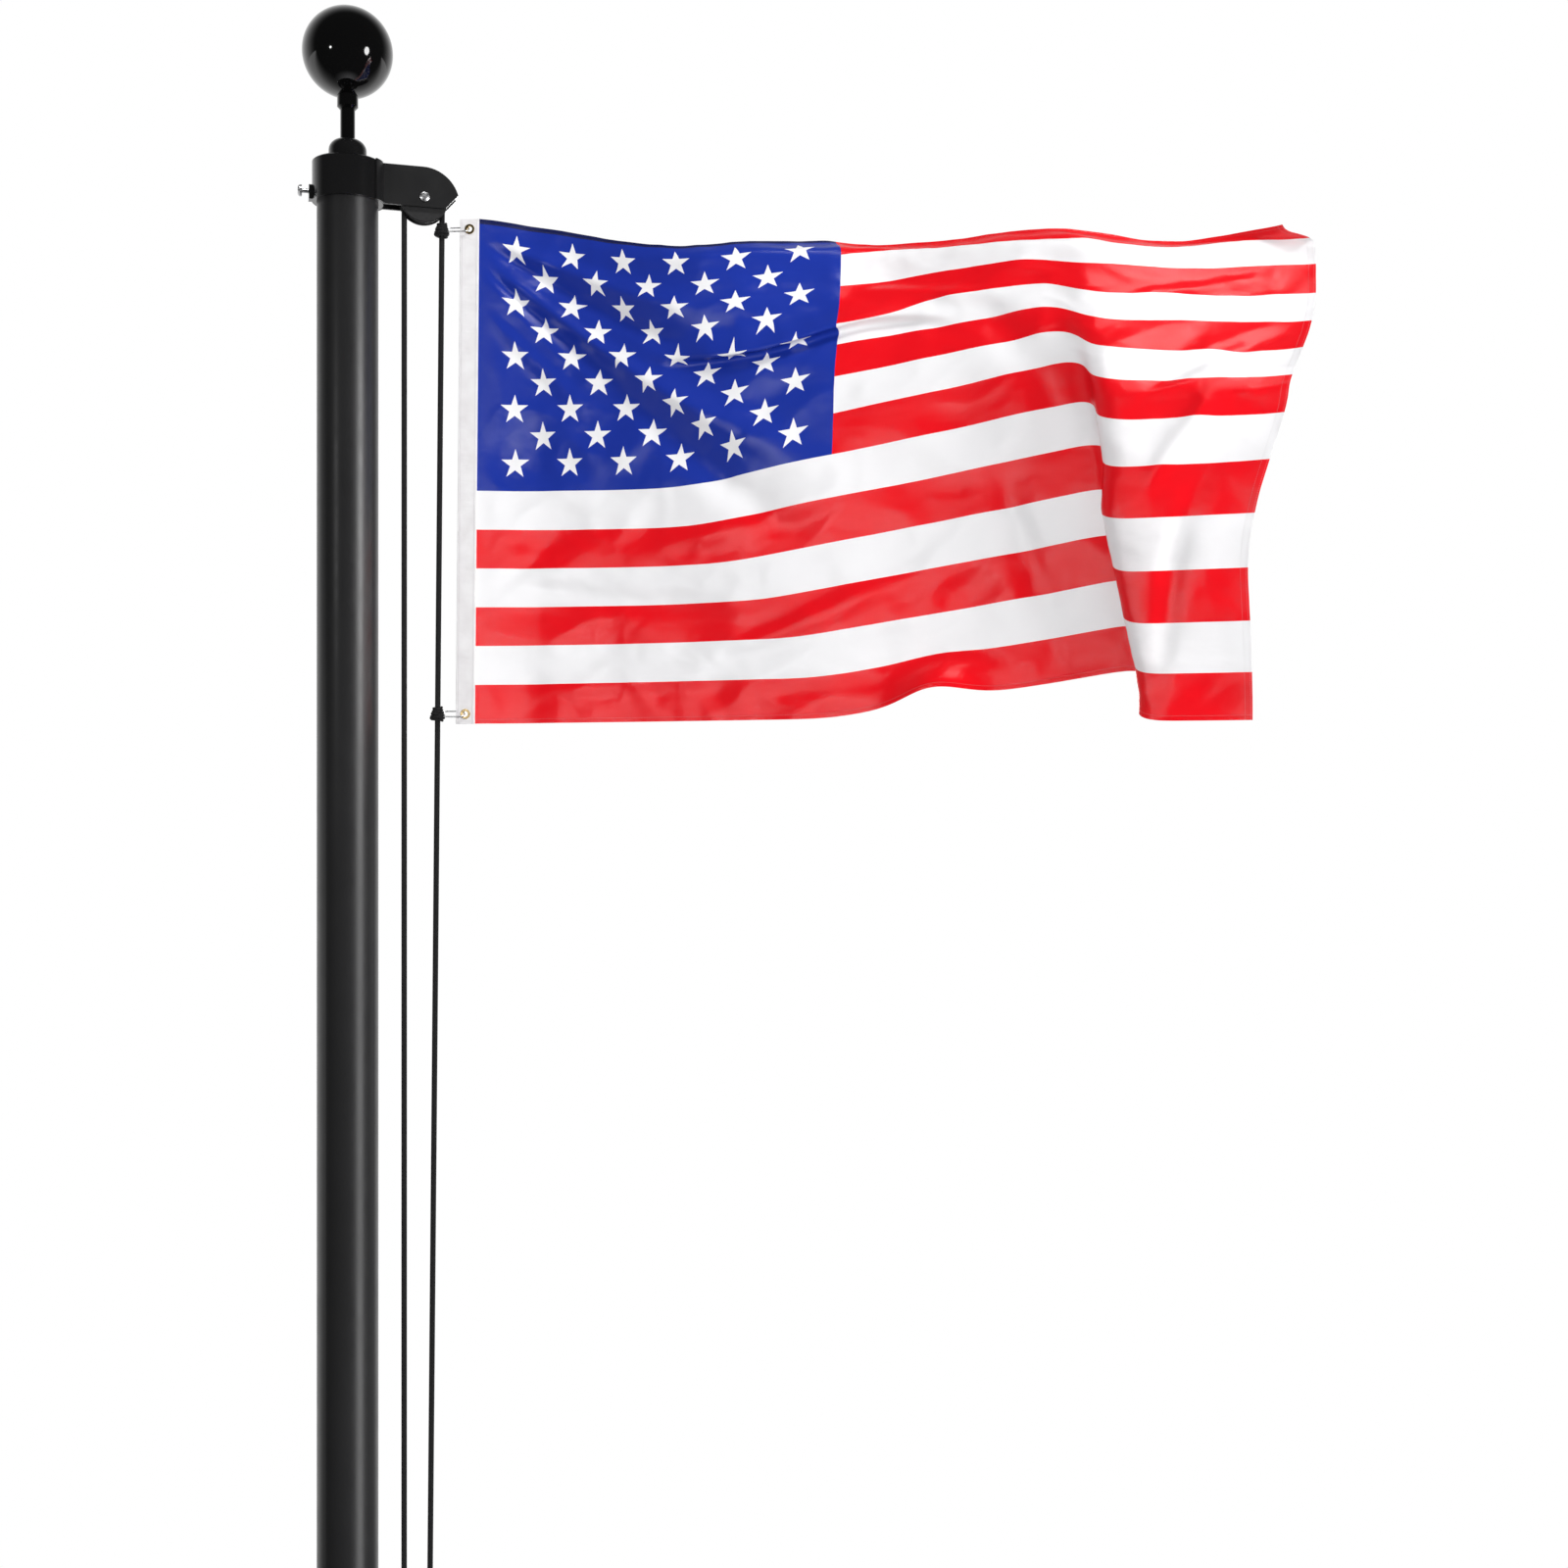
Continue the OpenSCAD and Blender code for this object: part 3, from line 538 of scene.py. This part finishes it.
# A knot's outline: share of its length from the top, and how far its cord lies off the rope
KNOT_OUTLINE = (
    (0.0, 0.0000), (0.25, 0.0008), (0.5, 0.0030), (0.72, 0.0044), (0.9, 0.0034), (1.0, 0.0012),
)  # fmt: skip
# The runs of its cord: shares of its length where each starts and ends, turns, the turn it starts
# at, and how far it lies over the run below
KNOT_RUNS = (
    (0.0, 1.0, 5.0, 0.0, 0.0),
    (1.0, 0.45, 1.5, 0.0, 0.0017),
    (0.45, 0.8, 1.0, 1.5, 0.0019),
)


def knot(name, clip_z, replaced):
    """A pear-shaped knot: wraps of cord round the halyard, with two runs that cross over them."""
    route = []
    for first, last, turns, begin, lift in KNOT_RUNS:
        for i in range(KNOT_STEPS):
            t = first + (last - first) * i / KNOT_STEPS
            rise = math.sin(math.pi * min(1, 2.5 * i / KNOT_STEPS))
            off = np.interp(t, *zip(*KNOT_OUTLINE)) + lift * rise
            a = math.tau * (turns * i / KNOT_STEPS + begin)
            # The cord bites a little into the rope
            r = ROPE_R + KNOT_CORD_R * 0.9 + off
            route.append(Vector((r * math.cos(a), r * math.sin(a), KNOT_H * (0.5 - t))))
    piece = tube(name, route, KNOT_CORD_R, KNOT_SIDES)
    piece.matrix_world = leg_matrix(clip_z)
    return finish_piece(piece, "rope_black", "flag_set", replaced)


knot("upper_wraps", UPPER_CLIP_Z, "upper_knot")
knot("lower_wraps", LOWER_CLIP_Z, "lower_knot")

# ---- flag ----

COLUMNS, ROWS = 300, 184

# Degrees in plan, where the cloth's threads settle at the top and from the middle down
FLY_TOP_DEG, FLY_FOOT_DEG = -36, -41
TURN_IN = 0.16
# The fold runs from the top edge to the foot, where the cloth doubles back on itself. Its turn
# grows from each angle to the next over these shares of the hoist. The threads also drop there,
# by these shares of the angle at the middle and at the foot.
FOLD_AT = (1.06, 1.28)
FOLD_W = (0.045, 0.036)
FOLD_DEG, FOLD_GROWS = (13, 62, 140), ((0.22, 0.58), (0.5, 0.8))
FOLD_DROP_DEG, FOLD_DROP_SHARE, FOLD_DROP_W = -75, (0.45, 1.0), 1.2
# A wave in plan: degrees at the top and from the middle down, its length, and where it has grown
WAVE_DEG, WAVE_LEN, WAVE_GROWN = (14, 3), 0.62, 0.25
# Degrees of rise of the threads: the top one sags from its corner and droops past the union
TOP_SAG_DEG, TOP_SAG_LEN, TOP_RISE_DEG = -7.5, 0.38, -0.5
TOP_DROOP_DEG, TOP_DROOP_AT = -4.5, (0.85, 1.2)
# The lower ones dip, and then lift until the fold
DIP_DEG, DIP_END = -2.5, (0.28, 0.45)
LIFT_DEG, LIFT_AT, LIFT_LEN, LIFT_END = 7.7, (0.33, 0.60), 0.17, 0.1
# The top edge rolls back and down over these shares of the hoist, less above the union than past
# it, and curls at its fly end
ROLL_SHARE, ROLL_BACK, ROLL_DROP = (0.05, 0.11), (0.026, 0.050), (0.018, 0.058)
ROLL_GROWS, PAST_UNION = (0.05, 0.5), (0.5, 0.9)
TOP_CURL_DEG, TOP_CURL_AT = -28, (1.2, 1.5)
# Where the cloth sags between its creases: middle and half width, in metres along it and as shares
# of the hoist down it, and depth
SAGS = (
    ((0.43, 0.0), (0.24, 0.2), 0.040),
    ((1.27, 0.0), (0.11, 0.2), 0.014),
    ((1.49, 0.36), (0.20, 0.15), 0.020),
)


def eased(x, a, b):
    """From 0 at a to 1 at b, with a smooth start and end."""
    q = np.clip((x - a) / (b - a), 0, 1)
    return q * q * (3 - 2 * q)


def between(pair, share):
    """From the first of a pair at share 0 to the second at share 1."""
    return pair[0] + (pair[1] - pair[0]) * share


def bell(x):
    """A bump of height 1 at 0, which has fallen to 0.37 at 1 on either side."""
    return np.exp(-x * x)


def threads(along, down):
    """The flying cloth. Each thread is walked at its own length by the CAD source's formula. Then
    the top edge's roll, whose size isn't the source's, and the sags, which it lacks, shift it."""
    low, foot = eased(down, 0, 0.5), eased(down, 0.5, 1)
    at = between(FOLD_AT, eased(down, -0.1, 1.1))
    off_fold = (along - at) / between(FOLD_W, eased(down, 0.2, 0.9))
    turn = (
        FOLD_DEG[0]
        + (FOLD_DEG[1] - FOLD_DEG[0]) * eased(down, *FOLD_GROWS[0])
        + (FOLD_DEG[2] - FOLD_DEG[1]) * eased(down, *FOLD_GROWS[1])
    )
    settled = between((FLY_TOP_DEG, FLY_FOOT_DEG), low)
    wave = np.sin(math.tau * (along - at) / WAVE_LEN) * eased(along, 0, WAVE_GROWN)
    plan = np.radians(
        HEADING_DEG
        + (settled - HEADING_DEG) * eased(along, 0, TURN_IN)
        + between(WAVE_DEG, low) * wave
        + TOP_CURL_DEG * (1 - eased(down, 0, ROLL_SHARE[1])) * eased(along, *TOP_CURL_AT)
        - turn * bell(off_fold)
    )

    top_rise = (
        TOP_SAG_DEG * np.exp(-along / TOP_SAG_LEN)
        + TOP_RISE_DEG
        + TOP_DROOP_DEG * eased(along, *TOP_DROOP_AT)
    )
    lift_at = between(LIFT_AT, foot)
    lifted = eased(along, lift_at, lift_at + LIFT_LEN) * (1 - eased(along, at - LIFT_END, at))
    low_rise = (
        DIP_DEG * (1 - foot) * (1 - eased(along, *DIP_END))
        + LIFT_DEG * lifted
        + FOLD_DROP_DEG * between(FOLD_DROP_SHARE, foot) * bell(off_fold / FOLD_DROP_W)
    )
    rise = np.radians(between((top_rise, low_rise), low))
    steps = np.stack(
        [np.cos(rise) * np.cos(plan), np.cos(rise) * np.sin(plan), np.sin(rise)], -1
    )
    walked = np.zeros_like(steps)
    walked[1:] = np.cumsum((steps[1:] + steps[:-1]) / 2, 0) * CLOTH_LEN / (len(along) - 1)
    for (x, v), (wide, high), deep in SAGS:
        sag = bell((along - x) / wide) * bell((down - v) / high) * eased(along, 0, 0.1)
        walked[..., 2] -= deep * sag

    turned = math.radians(HEADING_DEG)
    reach = SNAP_REACH + HEADING_W + CLOTH_GAP
    edge = Vector((reach * math.cos(turned), reach * math.sin(turned), 0))
    top_z = UPPER_CLIP_Z + GROMMET_IN
    start = np.array([on_leg(top_z - HOIST * v) + edge for v in down[0]])

    past = eased(along, *PAST_UNION)
    roll = (1 - eased(down, -0.02, between(ROLL_SHARE, past))) * eased(along, *ROLL_GROWS)
    shift = np.stack([0 * past, between(ROLL_BACK, past), -between(ROLL_DROP, past)], -1)
    return start[None] + walked + roll[..., None] * shift


def face_and_drop(grid):
    """Unit vectors on the grid: out of the face that shows, and down the cloth."""
    run = np.gradient(grid, axis=0)
    drop = np.gradient(grid, axis=1)
    drop /= np.linalg.norm(drop, axis=-1, keepdims=True)
    face = np.cross(drop, run)
    face /= np.linalg.norm(face, axis=-1, keepdims=True)
    return face, drop


# Folds on the cloth in metres along it and down it: where each starts and ends, how wide it is at
# its start and end, and how far it stands out. Most pull from the top hoist corner.
TENSION_FOLDS = [
    ((0.00, 0.03), (0.52, 0.17), (0.008, 0.034), 0.0100),
    ((0.00, 0.04), (0.50, 0.27), (0.008, 0.028), -0.0110),
    ((0.01, 0.07), (0.72, 0.55), (0.010, 0.034), 0.0140),
    ((0.01, 0.09), (0.26, 0.28), (0.008, 0.022), -0.0085),
    ((0.18, 0.22), (0.68, 0.66), (0.016, 0.036), -0.0105),
    ((0.00, 0.16), (0.30, 0.42), (0.010, 0.026), 0.0055),
    ((0.00, 0.70), (0.20, 0.55), (0.010, 0.030), -0.0035),
]
# Folds elsewhere: by the top edge, beside the vertical fold, on the panel in front of it, and
# across the lower stripes
LOOSE_FOLDS = [
    ((0.70, 0.15), (1.02, 0.24), (0.014, 0.026), 0.0090),
    ((0.78, 0.05), (1.30, 0.09), (0.016, 0.030), -0.0080),
    ((0.92, 0.20), (1.16, 0.62), (0.030, 0.040), -0.0090),
    ((0.98, 0.55), (1.10, 0.92), (0.030, 0.034), -0.0090),
    ((1.20, 0.22), (1.45, 0.16), (0.016, 0.022), 0.0060),
    ((1.26, 0.45), (1.46, 0.30), (0.016, 0.024), -0.0070),
    ((1.30, 0.62), (1.40, 0.40), (0.016, 0.022), 0.0060),
    ((1.34, 0.90), (1.40, 0.55), (0.018, 0.022), -0.0065),
    ((0.30, 0.60), (0.86, 0.54), (0.014, 0.030), 0.0050),
    ((0.05, 0.66), (0.50, 0.72), (0.012, 0.026), -0.0045),
    ((0.45, 0.80), (1.02, 0.66), (0.014, 0.030), 0.0060),
    ((0.10, 0.86), (0.60, 0.82), (0.012, 0.022), 0.0040),
]


def fold_height(along, down, start, end, widths, height):
    """How far one fold stands out: it fades in from its start and out at its end."""
    way = np.array(end) - np.array(start)
    length = np.hypot(*way)
    way /= length
    ahead = ((along - start[0]) * way[0] + (down - start[1]) * way[1]) / length
    aside = -(along - start[0]) * way[1] + (down - start[1]) * way[0]
    width = between(widths, np.clip(ahead, 0, 1))
    fades = eased(ahead, -0.05, 0.3) * (1 - eased(ahead, 0.6, 1.1))
    return height * fades * bell(aside / width)


# Creases at three sizes: how wide in metres, how high, and where in the noise they are taken
CREASES = ((0.17, 0.0055, 3.0), (0.075, 0.0016, 11.0), (0.034, 0.0004, 29.0))


def crumple(along, down):
    """Soft creases all over, as folded nylon keeps them: ridged noise at three sizes."""
    made = np.zeros_like(along)
    for size, height, seed in CREASES:
        flat = np.array(
            [
                noise.noise((x / size, y / size * 1.35, seed))
                for x, y in zip(along.ravel(), down.ravel())
            ]
        )
        made += height * (0.4 - np.sqrt(flat**2 + 0.004).reshape(along.shape)) * 2
    return made


# The pleat: how far down the cloth its line lies, how far it bags out and over the cloth below,
# and how deep and how far below it the hollow under it is. Widths are half widths.
PLEAT_DOWN, PLEAT_OUT, PLEAT_W, PLEAT_OVER = 0.238, 0.016, 0.020, 0.024
HOLLOW_DEEP, HOLLOW_W, HOLLOW_BELOW = 0.010, 0.018, 0.034
# The foot's flip: how far along it is, its half width, and how far it stands out and up
FLIP_AT, FLIP_W, FLIP_OUT, FLIP_UP = 0.88, 0.07, 0.030, 0.022


def flag_points():
    """Grid of points, columns along the fly by rows down the hoist, with all its folds."""
    along = np.linspace(0, CLOTH_LEN, COLUMNS + 1)[:, None] + np.zeros((1, ROWS + 1))
    down = np.linspace(0, 1, ROWS + 1)[None, :] + np.zeros((COLUMNS + 1, 1))
    grid = threads(along, down)
    face, drop = face_and_drop(grid)
    fall = down * HOIST

    stands = sum(fold_height(along, fall, *fold) for fold in TENSION_FOLDS + LOOSE_FOLDS)
    stands = stands + crumple(along, fall)
    # A pleat from the union's fly side bags over the cloth below it and dies out towards the
    # hoist. From there its line climbs a little and then falls.
    line = PLEAT_DOWN + 0.05 * eased(along, 0.75, 0.95) - 0.03 * eased(along, 0.55, 0.75)
    pleat = eased(along, 0.30, 0.52) * (1 - eased(along, 0.70, 0.96))
    bag = bell((fall - line) / PLEAT_W) * pleat
    hollow = bell((fall - line - HOLLOW_BELOW) / HOLLOW_W) * pleat
    stands = stands + PLEAT_OUT * bag - HOLLOW_DEEP * hollow
    # The foot flips up and out where the long folds meet it
    flip = bell((along - FLIP_AT) / FLIP_W) * eased(fall, 0.80, HOIST)
    stands = stands + FLIP_OUT * flip * eased(fall, 0.84, HOIST)
    # All folds end at the heading, which holds the cloth flat
    held = eased(along, 0, 0.05)[..., None]
    slide = PLEAT_OVER * bag - FLIP_UP * flip
    return grid + held * (stands[..., None] * face + slide[..., None] * drop)


def cloth_piece():
    """The flag's cloth as one sheet of quads, with UV "print" from 0 to 1 along and down it."""
    wide = ROWS + 1
    faces = [quad(i, j, wide) for i in range(COLUMNS) for j in range(ROWS)]
    piece = new_piece("flying_flag", flag_points().reshape(-1, 3), faces)
    uv = piece.data.uv_layers.new(name="print")
    for loop in piece.data.loops:
        i, j = divmod(loop.vertex_index, wide)
        uv.data[loop.index].uv = (i / COLUMNS, j / ROWS)
    return piece


flag = finish_piece(cloth_piece(), "flag_cloth", "flag_set", "flag")


TAPE_RIM, TAPE_STEPS = 0.0009, 120
# The tape's puckers, which stop short of its edge by the rope: how far they stand out, and how
# many radians of wave one step takes
PUCKERS, PUCKER_FROM = ((0.00025, 2.1), (0.0002, 0.9)), 0.006
# The grommets' holes
HOLE_R, HOLE_SIDES, CUTTER_LEN = 0.0066, 48, 0.02


def heading_piece():
    """The folded tape on the flag's hoist, with rounded edges and holes for the grommets."""
    half, inner, outer = HEADING_T / 2, TAPE_RIM, HEADING_W - TAPE_RIM
    flat = half - TAPE_RIM
    outline = [
        (inner, -half), (outer, -half), (HEADING_W, -flat), (HEADING_W, flat),
        (outer, half), (inner, half), (0, flat), (0, -flat),
    ]  # fmt: skip
    points = []
    for j in range(TAPE_STEPS + 1):
        z = GROMMET_IN - HOIST * j / TAPE_STEPS
        pucker = sum(high * math.sin(j * angle) for high, angle in PUCKERS)
        points += [(SNAP_REACH + x, y + pucker * (x > PUCKER_FROM), z) for x, y in outline]
    faces = tube_faces(TAPE_STEPS + 1, len(outline))
    piece = new_piece("heading_tape", points, faces, smooth=False)
    edges = bmesh.new()
    edges.from_mesh(piece.data)
    bmesh.ops.recalc_face_normals(edges, faces=edges.faces)
    edges.to_mesh(piece.data)
    edges.free()

    for index, drop in enumerate((0.0, UPPER_CLIP_Z - LOWER_CLIP_Z)):
        bpy.ops.mesh.primitive_cylinder_add(
            vertices=HOLE_SIDES,
            radius=HOLE_R,
            depth=CUTTER_LEN,
            location=(SNAP_REACH + GROMMET_IN, 0, -drop),
            rotation=(math.pi / 2, 0, 0),
        )
        cutter = bpy.context.object
        cut = piece.modifiers.new(f"hole_{index}", "BOOLEAN")
        cut.operation, cut.object = "DIFFERENCE", cutter
        bpy.context.view_layer.update()
        made = bpy.data.meshes.new_from_object(
            piece.evaluated_get(bpy.context.evaluated_depsgraph_get())
        )
        piece.modifiers.clear()
        piece.data = made
        bpy.data.objects.remove(cutter)
    uv = piece.data.uv_layers.new(name="tape")
    for loop in piece.data.loops:
        at = piece.data.vertices[loop.vertex_index].co
        uv.data[loop.index].uv = ((at.x - SNAP_REACH) / HEADING_W, (GROMMET_IN - at.z) / HOIST)
    turned = Matrix.Rotation(math.radians(HEADING_DEG), 4, "Z")
    piece.matrix_world = leg_matrix(UPPER_CLIP_Z) @ turned
    piece.data.materials.clear()
    return finish_piece(piece, "canvas", "flag_set", "heading")


heading = heading_piece()

# ---- stage ----

GLOSS = ("gloss_black", "cast_black")
# Level of the plain light from all round, and of the dark studio that gloss mirrors in front
DAYLIGHT, DARK_STUDIO = 0.36, 0.03
# The floor is wide enough to have no edge in sight, and lies a hair below the base
FLOOR_SIZE, FLOOR_Z = 400, -0.0005
# Distances from the pole where the floor starts to run into the backdrop, and has done so, and
# the share of the backdrop in it before that
FLOOR_FADES, FLOOR_GLOW = (0.4, 3.2), 0.25


def backdrop(n, toward, start, end):
    """White where it is seen, and mirrored only behind the object: in front the studio is dark.

    Y of toward, a direction or a place, runs from start, in front, to end, behind.
    """
    ray = n.add("LightPath").outputs
    place = n.add("SeparateXYZ", {"Vector": toward}).outputs["Y"]
    mirrored = n.spread(place, start, end, DARK_STUDIO, 1.0, interpolation_type="SMOOTHSTEP")
    level = n.spread(ray["Is Glossy Ray"], 0.0, 1.0, DAYLIGHT, mirrored)
    for seen in ("Is Transmission Ray", "Is Camera Ray"):
        level = n.spread(ray[seen], 0.0, 1.0, level, 1.0)
    return level


def floor():
    """A pale floor that holds the shadow near the base and runs into the backdrop further out."""
    n = Material("floor")
    place = n.add("NewGeometry").outputs["Position"]
    at = n.add("SeparateXYZ", {"Vector": place}).outputs
    n.set(Base_Color=grey(0.82), Roughness=0.75)
    level = backdrop(n, place, -0.5, 9.0)
    white = n.add("Emission", {"Color": (1, 1, 1, 1), "Strength": level})
    n.blend(n.spread(n.hypot(at["X"], at["Y"]), *FLOOR_FADES, FLOOR_GLOW, 1), white)
    bpy.ops.mesh.primitive_plane_add(size=FLOOR_SIZE, location=(0, 0, FLOOR_Z))
    plane = bpy.context.object
    plane.name = "floor"
    plane.data.materials.append(n.material)
    return plane


def world():
    """The same backdrop all round."""
    made = bpy.data.worlds.new("studio")
    bpy.context.scene.world = made
    made.use_nodes = True
    made.node_tree.nodes.clear()
    n = Nodes(made.node_tree)
    level = backdrop(n, n.add("TexCoord").outputs["Generated"], 0.0, 0.9)
    back = n.add("Background", {"Color": (1, 1, 1, 1), "Strength": level})
    n.add("OutputWorld", {"Surface": back.outputs[0]})


def softbox(name, location, aim, width, height, power, lit=(), shape="RECTANGLE"):
    """A soft lamp aimed at a point. Where lit names objects, it lights only those."""
    data = bpy.data.lights.new(name, "AREA")
    data.shape, data.size, data.size_y, data.energy = shape, width, height, power
    lamp = bpy.data.objects.new(name, data)
    bpy.context.scene.collection.objects.link(lamp)
    lamp.location = location
    lamp.rotation_euler = (Vector(aim) - Vector(location)).to_track_quat("-Z", "Y").to_euler()
    if lit:
        lamp.light_linking.receiver_collection = bpy.data.collections.new(name + "_lit")
        for piece in lit:
            lamp.light_linking.receiver_collection.objects.link(piece)


CAMERA_AT, CAMERA_TURN_DEG = (-0.2788, -3.5831, 4.9928), -17
LENS_MM, SENSOR_MM, SIGHT = 45, 36, 500


def camera():
    """A level camera before the upper pole, turned towards the flag."""
    data = bpy.data.cameras.new("camera")
    data.lens, data.sensor_width, data.clip_end = LENS_MM, SENSOR_MM, SIGHT
    made = bpy.data.objects.new("camera", data)
    bpy.context.scene.collection.objects.link(made)
    made.location = CAMERA_AT
    made.rotation_euler = (math.radians(90), 0, math.radians(CAMERA_TURN_DEG))
    bpy.context.scene.camera = made


ground = floor()
world()
# The two glints light everything, and the gloss pieces mirror only them. The poles have a strip
# of their own besides, and so has the floor a lamp.
poles = [NODES[name] for name in ("upper_section", "lower_section", "splice_sleeve")]
gloss = [NODES[part["node"]] for part in SUBPARTS if part["material_slot"] in GLOSS]
shown = [piece for piece in bpy.data.objects if piece.type == "MESH" and "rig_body" in piece]
others = [piece for piece in shown if piece not in poles + gloss]
softbox("right_glint", (2.55, -2.6, 5.9), (0, 0, 6.3), 0.8, 1.15, 34, shape="ELLIPSE")
softbox("left_glint", (-2.75, -2.5, 5.95), (0, 0, 6.3), 0.34, 0.34, 6, shape="ELLIPSE")
softbox("pole_strip", (2.4, -2.7, 4.0), (0, 0, 4.0), 1.5, 6.4, 140, poles)
softbox("key", (2.5, -3.2, 5.6), (0.8, -0.4, 5.5), 0.7, 1.6, 62, others)
softbox("fill", (-3.3, -2.7, 4.9), (0.6, -0.3, 5.4), 0.9, 1.4, 47, others)
softbox("top", (0.6, -2.4, 9.0), (0.8, -0.4, 5.6), 1.6, 0.7, 78, others)
softbox("back", (1.6, 3.4, 6.2), (0.8, -0.3, 5.5), 2.0, 2.4, 110, others)
softbox("foot", (1.7, -2.6, 2.6), (0, 0, 0.8), 1.2, 1.2, 45, others)
softbox("floor_lamp", (0.9, -1.6, 3.2), (0, 0, 0), 0.5, 0.5, 115, [ground])
camera()
bpy.context.scene.view_settings.view_transform = "Standard"
